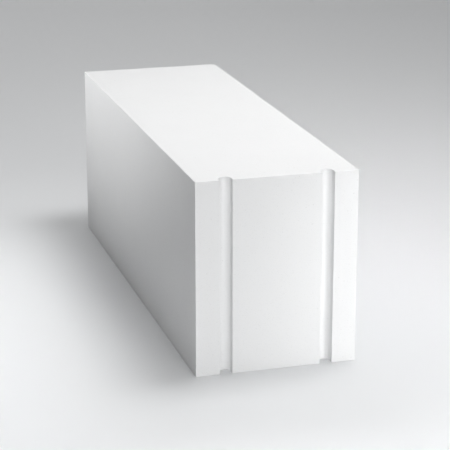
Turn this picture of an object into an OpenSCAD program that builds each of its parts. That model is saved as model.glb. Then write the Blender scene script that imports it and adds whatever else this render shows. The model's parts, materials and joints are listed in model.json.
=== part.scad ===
// Wall block of aerated concrete: one solid, sawn square, with two upright grooves in one end.
// X runs across the wall, Y along the block away from its grooved end, and Z up.
// The origin is the middle of the bed face, which the block stands on.

/* [Block] */
// Length along the wall
block_length = 625; // [300:1:750]
// Width across the wall, which is the wall's thickness
block_width = 200; // [100:1:400]
// Height of one course
block_height = 240; // [100:1:300]
// Flat that breaks each outer edge, measured along either face
arris = 0.8; // [0.2:0.1:3]

/* [End grooves] */
// Radius of a groove's round bottom, which is half of its width
groove_radius = 7.5; // [3:0.5:11]
// Straight part of a groove's sides, from the end face to the round bottom
groove_flank = 7; // [0.5:0.5:20]
// Distance from a long face of the block to the centre line of the groove next to it
groove_inset = 37.5; // [18:0.5:38]
// Flat that breaks a groove's two edges on the end face
groove_arris = 0.3; // [0.1:0.1:2]

/* [Hidden] */
// Amount that a cutter runs past the face that it cuts
cut_over = 1;
// Fineness of round surfaces
$fn = 96;

// The grooved end looks along -Y
grooved_end_y = -block_length / 2;
// Centre line of a groove's round bottom, and its distance from the block's middle plane
groove_bottom_y = grooved_end_y + groove_flank;
groove_x = block_width / 2 - groove_inset;

block_colour = [0.93, 0.93, 0.92];

// Rectangle about the origin with its four corners cut off by equal flats
module broken_rectangle(size_x, size_y, flat) {
    x = size_x / 2;
    y = size_y / 2;
    polygon([
        [-x + flat, -y], [x - flat, -y], [x, -y + flat], [x, y - flat],
        [x - flat, y], [-x + flat, y], [-x, y - flat], [-x, -y + flat]
    ]);
}

// Bar along Z whose section is a broken rectangle, from z = 0 up
module broken_bar(size_x, size_y, size_z, flat) {
    linear_extrude(height = size_z)
        broken_rectangle(size_x, size_y, flat);
}

// Sawn block with the flats along all twelve edges: three bars crossed at right angles
module sawn_block() {
    intersection() {
        broken_bar(block_width, block_length, block_height, arris);
        translate([0, block_length / 2, block_height / 2])
            rotate([90, 0, 0])
                broken_bar(block_width, block_height, block_length, arris);
        translate([-block_width / 2, 0, block_height / 2])
            rotate([90, 0, 90])
                broken_bar(block_length, block_height, block_width, arris);
    }
}

// Plan of one groove about its centre line: a round bottom, straight sides and a broken mouth
module groove_plan() {
    mouth = groove_radius + groove_arris;
    circle(r = groove_radius);
    translate([-groove_radius, -groove_flank - cut_over])
        square([2 * groove_radius, groove_flank + cut_over]);
    translate([0, -groove_flank])
        polygon([
            [-mouth - cut_over, -cut_over], [mouth + cut_over, -cut_over],
            [groove_radius, groove_arris], [-groove_radius, groove_arris]
        ]);
}

// Cutter for the groove on one side of the middle plane, over the whole height
module groove(side) {
    translate([side * groove_x, groove_bottom_y, -cut_over])
        linear_extrude(height = block_height + 2 * cut_over)
            groove_plan();
}

// The whole block, in one piece
module block() {
    color(block_colour)
        difference() {
            sawn_block();
            for (side = [-1, 1])
                groove(side);
        }
}

block();
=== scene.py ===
"""Looks of a wall block of aerated concrete: its sawn surface, its finish, and a plain studio to see it in.

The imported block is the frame: its box and its two groove mounts give the sizes of the surface drawn here.
"""

import json
import math
from typing import NamedTuple

import bmesh
import bpy
import numpy as np
from bpy.props import FloatProperty, FloatVectorProperty, IntProperty, PointerProperty
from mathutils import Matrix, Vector


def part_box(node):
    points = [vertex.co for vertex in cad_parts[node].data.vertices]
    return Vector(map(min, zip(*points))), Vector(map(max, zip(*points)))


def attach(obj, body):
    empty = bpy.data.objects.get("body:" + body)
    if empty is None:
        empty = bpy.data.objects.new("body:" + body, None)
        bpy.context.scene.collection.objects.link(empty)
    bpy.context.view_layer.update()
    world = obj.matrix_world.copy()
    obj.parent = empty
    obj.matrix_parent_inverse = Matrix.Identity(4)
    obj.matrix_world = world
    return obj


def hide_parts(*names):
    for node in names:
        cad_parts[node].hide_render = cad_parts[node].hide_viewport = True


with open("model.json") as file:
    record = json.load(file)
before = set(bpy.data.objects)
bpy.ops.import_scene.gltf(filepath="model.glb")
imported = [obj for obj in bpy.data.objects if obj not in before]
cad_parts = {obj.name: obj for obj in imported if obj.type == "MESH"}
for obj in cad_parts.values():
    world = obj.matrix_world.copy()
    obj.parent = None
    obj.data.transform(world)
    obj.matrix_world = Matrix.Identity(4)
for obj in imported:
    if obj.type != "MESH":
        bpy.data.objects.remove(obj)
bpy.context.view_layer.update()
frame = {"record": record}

bl_info = {
    "name": "Aerated Concrete Block",
    "version": (1, 0, 0),
    "blender": (4, 5, 0),
    "location": "3D View > Sidebar > Block",
    "description": "Sawn wall block of aerated concrete with grooves in one end, in a plain studio",
    "category": "Object",
}

LOW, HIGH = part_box("block")
MOUNTS = {mount["name"]: mount for mount in frame["record"]["mounts"]}
GROOVES = [MOUNTS["left_groove"], MOUNTS["right_groove"]]


class BlockSizes(bpy.types.PropertyGroup):
    """Sizes of the block's surface that the frame doesn't give."""

    arris: FloatProperty(
        name="Arris",
        description="Radius of the block's edges and of the grooves' edges",
        default=0.0005,
        unit="LENGTH",
    )
    arris_wear: FloatProperty(
        name="Arris wear",
        description="Deepest that the saw and handling have nibbled an edge",
        default=0.00015,
        unit="LENGTH",
    )
    spacing: FloatProperty(
        name="Spacing",
        description="Distance between the surface's points along the faces",
        default=0.004,
        unit="LENGTH",
    )
    cap_margin: FloatProperty(
        name="Cap margin",
        description="Distance from the outer faces to the plain ring behind the grooves",
        default=0.02,
        unit="LENGTH",
    )
    arc_steps: IntProperty(
        name="Arc steps",
        description="Number of steps round a quarter of an edge",
        default=4,
    )
    groove_steps: IntProperty(
        name="Groove steps",
        description="Number of steps round the half circle at the bottom of a groove",
        default=32,
    )


class BlockFinish(bpy.types.PropertyGroup):
    """Colours and relief of sawn aerated concrete."""

    body_colour: FloatVectorProperty(
        name="Body",
        description="Colour of the sawn surface",
        default=(0.86, 0.863, 0.866),
        subtype="COLOR",
    )
    # Painted shade: the pores' colour is darker than the body, for the shade that falls inside each hollow.
    pore_shade_colour: FloatVectorProperty(
        name="Pores",
        description="Colour at the bottom of an open pore",
        default=(0.70, 0.70, 0.70),
        subtype="COLOR",
    )
    pore_size: FloatProperty(
        name="Pore size",
        description="Distance between the fine pores",
        default=0.0011,
        unit="LENGTH",
    )
    bubble_size: FloatProperty(
        name="Bubble size",
        description="Distance between the cells that may hold a large bubble",
        default=0.0042,
        unit="LENGTH",
    )
    relief: FloatProperty(
        name="Relief",
        description="Depth of the pores and of the saw's marks",
        default=0.00012,
        unit="LENGTH",
    )
    roughness: FloatProperty(
        name="Roughness",
        description="Mean roughness of the surface",
        default=0.92,
        subtype="FACTOR",
    )


class StudioSettings(bpy.types.PropertyGroup):
    """Floor, lights and camera."""

    floor_colour: FloatVectorProperty(
        name="Floor",
        description="Colour of the floor",
        default=(0.80, 0.81, 0.82),
        subtype="COLOR",
    )
    floor_half: FloatProperty(
        name="Floor reach",
        description="Distance from the middle of the floor to its sides",
        default=9.0,
        unit="LENGTH",
    )
    backdrop_colour: FloatVectorProperty(
        name="Backdrop",
        description="Colour behind the floor's far edge",
        default=(0.43, 0.43, 0.44),
        subtype="COLOR",
    )
    light_level: FloatProperty(
        name="Light level",
        description="Factor on the power of every lamp",
        default=1.0,
    )
    azimuth: FloatProperty(
        name="Azimuth",
        description="Turn of the camera about the upright, from straight in front of the grooved end",
        default=math.radians(-16.09),
        unit="ROTATION",
    )
    elevation: FloatProperty(
        name="Elevation",
        description="Angle that the camera looks down at",
        default=math.radians(17.22),
        unit="ROTATION",
    )
    distance: FloatProperty(
        name="Distance",
        description="Distance from the camera to the point it looks at",
        default=2.0,
        unit="LENGTH",
    )
    aim: FloatVectorProperty(
        name="Aim",
        description="Point that the camera looks at",
        default=(-0.0616, -0.3034, 0.183),
        subtype="XYZ",
        unit="LENGTH",
    )
    lens: FloatProperty(
        name="Lens",
        description="Focal length of the camera in millimetres",
        default=137.4,
        subtype="NONE",
    )


class Arc(NamedTuple):
    """One arc of the plan, which runs anticlockwise from above.

    The bearings are those of its outward normal, in degrees. A hollow arc has a negative radius. Behind is
    the point of the plain ring that its middle faces.
    """

    centre: tuple
    radius: float
    first: float
    last: float
    behind: tuple


def groove_arcs(groove, edge, ring_y):
    """Arcs of one groove's plan in order: its left edge, its round bottom and its right edge.

    The points behind the edges stand further apart than the edges, so that no line to them crosses the
    groove.
    """
    x, y, _ = groove["pos_m"]
    radius = groove["dims"]["r_mm"] / 1000
    reach = radius + edge
    spread = 1.6 * reach
    return [
        Arc((x - reach, LOW.y + edge), edge, 270, 360, (x - spread, ring_y)),
        Arc((x, y), -radius, 360, 180, (x, ring_y)),
        Arc((x + reach, LOW.y + edge), edge, 180, 270, (x + spread, ring_y)),
    ]


def plan_arcs(sizes):
    """Arcs of the block's plan in order, which straight stretches join: the corners and the grooves."""
    edge, margin = sizes.arris, sizes.cap_margin
    left, right, near, far = LOW.x, HIGH.x, LOW.y, HIGH.y
    grooves = [arc for groove in GROOVES for arc in groove_arcs(groove, edge, near + margin)]
    return [
        Arc((left + edge, near + edge), edge, 180, 270, (left + margin, near + margin)),
        *grooves,
        Arc((right - edge, near + edge), edge, 270, 360, (right - margin, near + margin)),
        Arc((right - edge, far - edge), edge, 0, 90, (right - margin, far - margin)),
        Arc((left + edge, far - edge), edge, 90, 180, (left + margin, far - margin)),
    ]


def arc_points(arc, sizes):
    """One arc: each point is the centre plus the radius times the normal, and the normal turns evenly.

    Returns the points, the normals and the edge weight, which is the sine of twice the turn on an outer
    edge, so nought where it runs into a face and one half way round, and nought in a groove's bottom.
    """
    hollow = arc.radius < 0
    steps = sizes.groove_steps if hollow else sizes.arc_steps
    turn = np.radians(np.linspace(arc.first, arc.last, steps + 1))
    normals = np.stack([np.cos(turn), np.sin(turn)], axis=1)
    weight = np.zeros(steps + 1) if hollow else np.sin(2 * (turn - turn[0]))
    return np.array(arc.centre) + arc.radius * normals, normals, weight


def straight_points(start, end, normal, sizes):
    """Points between two ends, without them: even steps, and one close to each end to keep faces flat."""
    length = np.linalg.norm(end - start)
    guard = min(2 * sizes.arris, length / 3)
    count = max(2, int(length / sizes.spacing))
    share = np.linspace(guard, length - guard, count) / length
    points = start + share[:, None] * (end - start)
    return points, np.tile(normal, (count, 1)), np.zeros(count)


def plan_outline(sizes):
    """The block's closed plan: its points, outward normals, edge weights and the plain ring behind them.

    The outline is each arc followed by the straight stretch to the next one. The ring is a rectangle inside
    the outline, deeper than the grooves. The middle of each arc has its own point on the ring, and a point
    between two of them keeps its share of the way along the outline.
    """
    arcs = plan_arcs(sizes)
    curves = [arc_points(arc, sizes) for arc in arcs]
    stretches = []
    middles = []
    count = 0
    for curve, following in zip(curves, curves[1:] + curves[:1]):
        straight = straight_points(curve[0][-1], following[0][0], curve[1][-1], sizes)
        stretches += [curve, straight]
        middles.append(count + len(curve[0]) // 2)
        count += len(curve[0]) + len(straight[0])
    points, normals, weights = (np.concatenate(parts) for parts in zip(*stretches))
    steps = np.linalg.norm(np.roll(points, -1, axis=0) - points, axis=1)
    along = np.cumsum(steps) - steps
    behind = np.array([arc.behind for arc in arcs])
    ring = [np.interp(along, along[middles], column, period=steps.sum()) for column in behind.T]
    return points, normals, weights, np.stack(ring, axis=1)


def upright_profile(sizes):
    """The upper half of the upright profile, from mid-height over the top edge to the middle of the top.

    Each row has a height, a tilt of the normal, an inset from the outline, and how far it has gone from the
    edge to the plain ring and from there to the middle line. Returns those five arrays.
    """
    edge = sizes.arris
    middle, top = (LOW.z + HIGH.z) / 2, HIGH.z
    wall_top = top - edge
    wall_count = int((wall_top - middle) / sizes.spacing)
    wall = np.append(np.linspace(middle, wall_top - 2 * edge, wall_count), wall_top)
    tilt = np.linspace(0, math.pi / 2, sizes.arc_steps + 1)[1:]
    to_ring = np.array([0.08, 0.3, 0.6, 1.0])
    to_line = np.array([0.12, 0.3, 0.5, 0.75, 1.0])
    cap = np.ones(len(to_ring) + len(to_line))
    flat = np.zeros(len(wall))
    height = np.concatenate([wall, wall_top + edge * np.sin(tilt), top * cap])
    tilts = np.concatenate([flat, tilt, cap * math.pi / 2])
    inset = np.concatenate([flat, edge * (1 - np.cos(tilt)), edge * cap])
    ring_share = np.concatenate([flat, 0 * tilt, to_ring, np.ones(len(to_line))])
    line_share = np.concatenate([flat, 0 * tilt, np.zeros(len(to_ring)), to_line])
    return height, tilts, inset, ring_share, line_share


def whole_profile(sizes):
    """The whole upright profile: the upper half, and before it the same mirrored about mid-height."""
    height, tilt, inset, ring_share, line_share = upright_profile(sizes)
    mirrored = LOW.z + HIGH.z - height
    return [
        np.concatenate([lower[:0:-1], upper])
        for lower, upper in (
            (mirrored, height),
            (-tilt, tilt),
            (inset, inset),
            (ring_share, ring_share),
            (line_share, line_share),
        )
    ]


def nibbles(points):
    """Uneven wear from 0 to 1 at each point: the cube of a sum of plane waves in many directions."""
    draw = np.random.default_rng(7)
    wave_count = 24
    wave_length = 0.02
    waves = draw.normal(size=(wave_count, 3)) * 2 * math.pi / wave_length
    phases = draw.uniform(0, 2 * math.pi, wave_count)
    swell = np.sin(points @ waves.T + phases).sum(axis=-1) / math.sqrt(wave_count)
    return np.clip(0.5 + 0.35 * swell, 0, 1) ** 3


def block_surface(sizes):
    """The block as one closed surface of two parameters: u round the plan and v up the profile.

    A point is the plan's point at u, less the profile's inset at v along the plan's normal. On the top and
    the bed it then goes in a straight line to the plain ring, and from there to the block's middle line.
    Wear moves a point of an edge inwards along the surface's normal.
    """
    points, normals, weights, ring = plan_outline(sizes)
    height, tilt, inset, ring_share, line_share = (row[:, None, None] for row in whole_profile(sizes))
    half_width = (HIGH.x - LOW.x) / 2
    line_y = np.clip(ring[:, 1], LOW.y + half_width, HIGH.y - half_width)
    line = np.stack([np.full(len(ring), (LOW.x + HIGH.x) / 2), line_y], axis=1)
    plan = points - inset * normals
    plan = plan + ring_share * (ring - plan)
    plan = plan + line_share * (line - plan)
    shape = plan.shape[:2]
    surface = np.concatenate([plan, np.broadcast_to(height, shape + (1,))], axis=2)
    rise = np.broadcast_to(np.sin(tilt), shape + (1,))
    outward = np.concatenate([np.cos(tilt) * normals, rise], axis=2)
    edge_weight = np.maximum(weights * np.cos(tilt[:, :, 0]), np.abs(np.sin(2 * tilt[:, :, 0])))
    wear = sizes.arris_wear * edge_weight * nibbles(surface)
    return surface - wear[:, :, None] * outward


def closed_mesh(name, grid):
    """Mesh of a grid that is closed along its second axis, with its points that fall together merged."""
    rows, columns = grid.shape[:2]
    u = np.arange(columns)
    v = np.arange(rows - 1)[:, None]
    here = v * columns + u
    beside = v * columns + (u + 1) % columns
    faces = np.stack([here, beside, beside + columns, here + columns], axis=-1).reshape(-1, 4)
    mesh = bpy.data.meshes.new(name)
    mesh.from_pydata(grid.reshape(-1, 3), [], faces)
    work = bmesh.new()
    work.from_mesh(mesh)
    bmesh.ops.remove_doubles(work, verts=work.verts, dist=1e-6)
    work.to_mesh(mesh)
    work.free()
    mesh.polygons.foreach_set("use_smooth", np.ones(len(mesh.polygons), bool))
    return mesh


def add_object(name, data):
    """Links a new object at the origin."""
    made = bpy.data.objects.new(name, data)
    bpy.context.scene.collection.objects.link(made)
    return made


class Value:
    """One output of a node. Arithmetic on it adds Math nodes to the same finish."""

    def __init__(self, finish, socket):
        self.finish = finish
        self.socket = socket

    def output(self, name):
        """Another output of the same node."""
        return Value(self.finish, self.socket.node.outputs[name])

    def math(self, operation, first, second=0.0):
        return self.finish.node("Math", {"operation": operation}, {0: first, 1: second})

    def __add__(self, other):
        return self.math("ADD", self, other)

    def __radd__(self, other):
        return self.math("ADD", other, self)

    def __sub__(self, other):
        return self.math("SUBTRACT", self, other)

    def __rsub__(self, other):
        return self.math("SUBTRACT", other, self)

    def __mul__(self, other):
        return self.math("MULTIPLY", self, other)

    def __rmul__(self, other):
        return self.math("MULTIPLY", other, self)

    def clamped(self):
        """The value held between 0 and 1."""
        return self.finish.node("Clamp", {}, {"Value": self})


class Finish:
    """The node tree of one new material."""

    def __init__(self, name):
        self.material = bpy.data.materials.new(name)
        self.material.use_nodes = True
        self.tree = self.material.node_tree
        self.tree.nodes.clear()

    def node(self, kind, settings, inputs, output=0):
        """Adds a node, makes its settings, then fills or links its sockets, and returns one output."""
        node = self.tree.nodes.new("ShaderNode" + kind)
        for name, setting in settings.items():
            setattr(node, name, setting)
        for name, source in inputs.items():
            if isinstance(source, Value):
                self.tree.links.new(source.socket, node.inputs[name])
            else:
                node.inputs[name].default_value = source
        return Value(self, node.outputs[output]) if node.outputs else None

    def place(self, turn=(0, 0, 0), scale=(1, 1, 1)):
        """Object coordinates, turned and scaled."""
        coordinates = self.node("TexCoord", {}, {}, "Object")
        return self.node("Mapping", {}, {"Vector": coordinates, "Rotation": turn, "Scale": scale})

    def noise(self, place, size, detail=2.0):
        """Cloudy noise from 0 to 1 with clouds of about a size in metres."""
        return self.node("TexNoise", {}, {"Vector": place, "Scale": 1 / size, "Detail": detail})

    def mixed(self, factor, first, second):
        """A colour part of the way from a first one to a second one."""
        return self.node("Mix", {"data_type": "RGBA"}, {0: factor, 6: first, 7: second}, 2)

    def surface(self, **sockets):
        """Ends the tree in a Principled shader."""
        named = {name.replace("_", " "): source for name, source in sockets.items()}
        shader = self.node("BsdfPrincipled", {}, named)
        self.node("OutputMaterial", {}, {"Surface": shader})
        return self.material


def pores(finish, place, size, share, widest):
    """Round hollows from 0 to 1, one in each of a share of the cells of a size.

    A cell's own chance sets its hollow's radius, up to the widest in parts of a cell, and the hollow is
    deepest in the middle.
    """
    distance = finish.node("TexVoronoi", {}, {"Vector": place, "Scale": 1 / size}, "Distance")
    chance = finish.node("SeparateColor", {}, {"Color": distance.output("Color")}, "Red")
    radius = (chance - (1 - share)) * (widest / share)
    return ((radius - distance) * (1 / widest)).clamped()


def rgba(colour):
    """A property's colour with full opacity."""
    return (*colour, 1.0)


def aerated_concrete(settings):
    """Sawn aerated concrete: fine pores and larger bubbles with painted shade, faint saw marks and a cloudy
    white body.
    """
    finish = Finish("aerated_concrete")
    place = finish.place(turn=(0.3, 0.2, 0.5))
    fine = pores(finish, place, settings.pore_size, share=0.8, widest=0.45)
    large = pores(finish, place, settings.bubble_size, share=0.25, widest=0.25)
    pore_depth_and_shade = (fine + large).clamped()
    grain = finish.noise(place, size=0.0006)
    saw = finish.noise(finish.place(scale=(1, 0.02, 1)), size=0.0025)
    clouds = finish.noise(place, size=0.07, detail=4.0)
    dull_body = [0.975 * channel for channel in settings.body_colour]
    body = finish.mixed(clouds, rgba(dull_body), rgba(settings.body_colour))
    # Painted shade: the open pores are coloured darker, besides being sunk by the bump below.
    colour = finish.mixed(pore_depth_and_shade, body, rgba(settings.pore_shade_colour))
    height = 0.15 * grain + 0.25 * saw - pore_depth_and_shade
    bump = finish.node("Bump", {}, {"Strength": 1.0, "Distance": settings.relief, "Height": height})
    roughness = settings.roughness - 0.08 * clouds
    return finish.surface(Base_Color=colour, Roughness=roughness, Normal=bump, Specular_IOR_Level=0.3)


def pale_floor(settings):
    """Plain matte floor."""
    finish = Finish("pale_floor")
    return finish.surface(Base_Color=rgba(settings.floor_colour), Roughness=0.75)


def floor_sheet(settings):
    """Flat floor as a grid: u and v run across it from side to side, at the height the block stands on."""
    steps = np.linspace(-settings.floor_half, settings.floor_half, 3)
    u, v = np.meshgrid(steps, steps)
    grid = np.stack([u, v, np.full(u.shape, LOW.z)], axis=-1).reshape(-1, 3)
    faces = [(0, 1, 4, 3), (1, 2, 5, 4), (3, 4, 7, 6), (4, 5, 8, 7)]
    mesh = bpy.data.meshes.new("floor")
    mesh.from_pydata(grid, [], faces)
    return mesh


def aimed(made, place, target):
    """Puts a light or camera in its place, looking at a target."""
    made.location = place
    made.rotation_euler = (Vector(target) - Vector(place)).to_track_quat("-Z", "Y").to_euler()


class SoftLight(NamedTuple):
    """A flat lamp: its place, target and two sides in metres, its beam in degrees and its power in watts."""

    name: str
    place: tuple
    target: tuple
    sides: tuple
    beam: float
    power: float


MIDDLE = (LOW + HIGH) / 2
END = (MIDDLE.x, LOW.y, MIDDLE.z)
# The sky and the key light the top and the floor, and three lamps face the grooved end. The one on the left
# stands nearer to straight ahead than the camera, so that the camera sees no shadow of a groove's edge. The
# side lamp is tilted up, and lights the block but not the floor before it. The last three brighten the floor
# in front, on the left and at the back.
LIGHTS = (
    SoftLight("sky", (0.0, 0.0, 5.0), MIDDLE, (8.0, 8.0), 180, 168),
    SoftLight("key", (0.3, -0.1, 1.5), MIDDLE, (0.5, 0.5), 180, 10),
    SoftLight("front", (0.1, -1.6, 0.9), END, (0.8, 0.8), 60, 0.8),
    SoftLight("end_left", (-0.5, -2.95, 0.2), END, (0.4, 0.4), 40, 1.0),
    SoftLight("end_right", (0.5, -1.5, 0.3), (0.5, LOW.y, MIDDLE.z), (0.08, 0.08), 49, 1.2),
    SoftLight("side", (-2.6, 0.36, 0.15), (LOW.x, 0.36, 1.1), (0.1, 0.1), 48, 9.3),
    SoftLight("near_floor", (0.0, -0.62, 1.0), (0.0, -0.62, 0.0), (0.7, 0.1), 22, 0.12),
    SoftLight("left_floor", (-0.38, -0.15, 1.2), (-0.38, -0.15, 0.0), (0.1, 0.8), 22, 0.17),
    SoftLight("far_floor", (0.0, 3.0, 2.5), (0.0, 2.5, 0.0), (2.0, 2.0), 180, 16),
)


def hang(light, level):
    """Hangs one lamp of the studio, with its power times the studio's light level."""
    lamp = bpy.data.lights.new(light.name, "AREA")
    lamp.shape = "RECTANGLE"
    lamp.size, lamp.size_y = light.sides
    lamp.spread = math.radians(light.beam)
    lamp.energy = light.power * level
    aimed(add_object(light.name, lamp), light.place, light.target)


def plain_backdrop(settings):
    """World that the camera sees past the floor's far edge, and that lights nothing."""
    world = bpy.data.worlds.new("backdrop")
    world.use_nodes = True
    nodes, links = world.node_tree.nodes, world.node_tree.links
    seen = nodes.new("ShaderNodeLightPath").outputs["Is Camera Ray"]
    background = nodes["Background"]
    background.inputs["Color"].default_value = rgba(settings.backdrop_colour)
    links.new(seen, background.inputs["Strength"])
    return world


class BLOCK_OT_make_block(bpy.types.Operator):
    """Draws the block's surface, in place of the plain solid"""

    bl_idname = "block.make_block"
    bl_label = "Block"

    def execute(self, context):
        piece = add_object("sawn_block", closed_mesh("sawn_block", block_surface(context.scene.block_sizes)))
        piece.data.materials.append(aerated_concrete(context.scene.block_finish))
        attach(piece, "root")
        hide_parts("block")
        return {"FINISHED"}


class BLOCK_OT_make_stage(bpy.types.Operator):
    """Lays the floor, hangs the lights and sets up the camera"""

    bl_idname = "block.make_stage"
    bl_label = "Studio"

    def execute(self, context):
        scene = context.scene
        settings = scene.block_studio
        floor = add_object("floor", floor_sheet(settings))
        floor.data.materials.append(pale_floor(settings))
        for light in LIGHTS:
            hang(light, settings.light_level)
        scene.world = plain_backdrop(settings)
        scene.view_settings.view_transform = "Standard"
        camera = bpy.data.cameras.new("camera")
        camera.lens = settings.lens
        level = math.cos(settings.elevation)
        back = Vector((
            math.sin(settings.azimuth) * level,
            -math.cos(settings.azimuth) * level,
            math.sin(settings.elevation),
        ))
        aim = Vector(settings.aim)
        scene.camera = add_object("camera", camera)
        aimed(scene.camera, aim + settings.distance * back, aim)
        return {"FINISHED"}


class BLOCK_PT_panel(bpy.types.Panel):
    """Lists the block's steps and settings in the sidebar"""

    bl_idname = "BLOCK_PT_panel"
    bl_label = "Aerated Concrete Block"
    bl_space_type = "VIEW_3D"
    bl_region_type = "UI"
    bl_category = "Block"

    def draw(self, context):
        scene = context.scene
        for step in (BLOCK_OT_make_block, BLOCK_OT_make_stage):
            self.layout.operator(step.bl_idname)
        for settings in (scene.block_sizes, scene.block_finish, scene.block_studio):
            box = self.layout.box()
            for name in settings.__annotations__:
                box.prop(settings, name)


GROUPS = {"block_sizes": BlockSizes, "block_finish": BlockFinish, "block_studio": StudioSettings}
CLASSES = (*GROUPS.values(), BLOCK_OT_make_block, BLOCK_OT_make_stage, BLOCK_PT_panel)


def register():
    for made in CLASSES:
        bpy.utils.register_class(made)
    for name, group in GROUPS.items():
        setattr(bpy.types.Scene, name, PointerProperty(type=group))


def unregister():
    for name in GROUPS:
        delattr(bpy.types.Scene, name)
    for made in reversed(CLASSES):
        bpy.utils.unregister_class(made)


def main():
    """Makes everything."""
    register()
    bpy.ops.block.make_block()
    bpy.ops.block.make_stage()


if __name__ == "__main__":
    main()
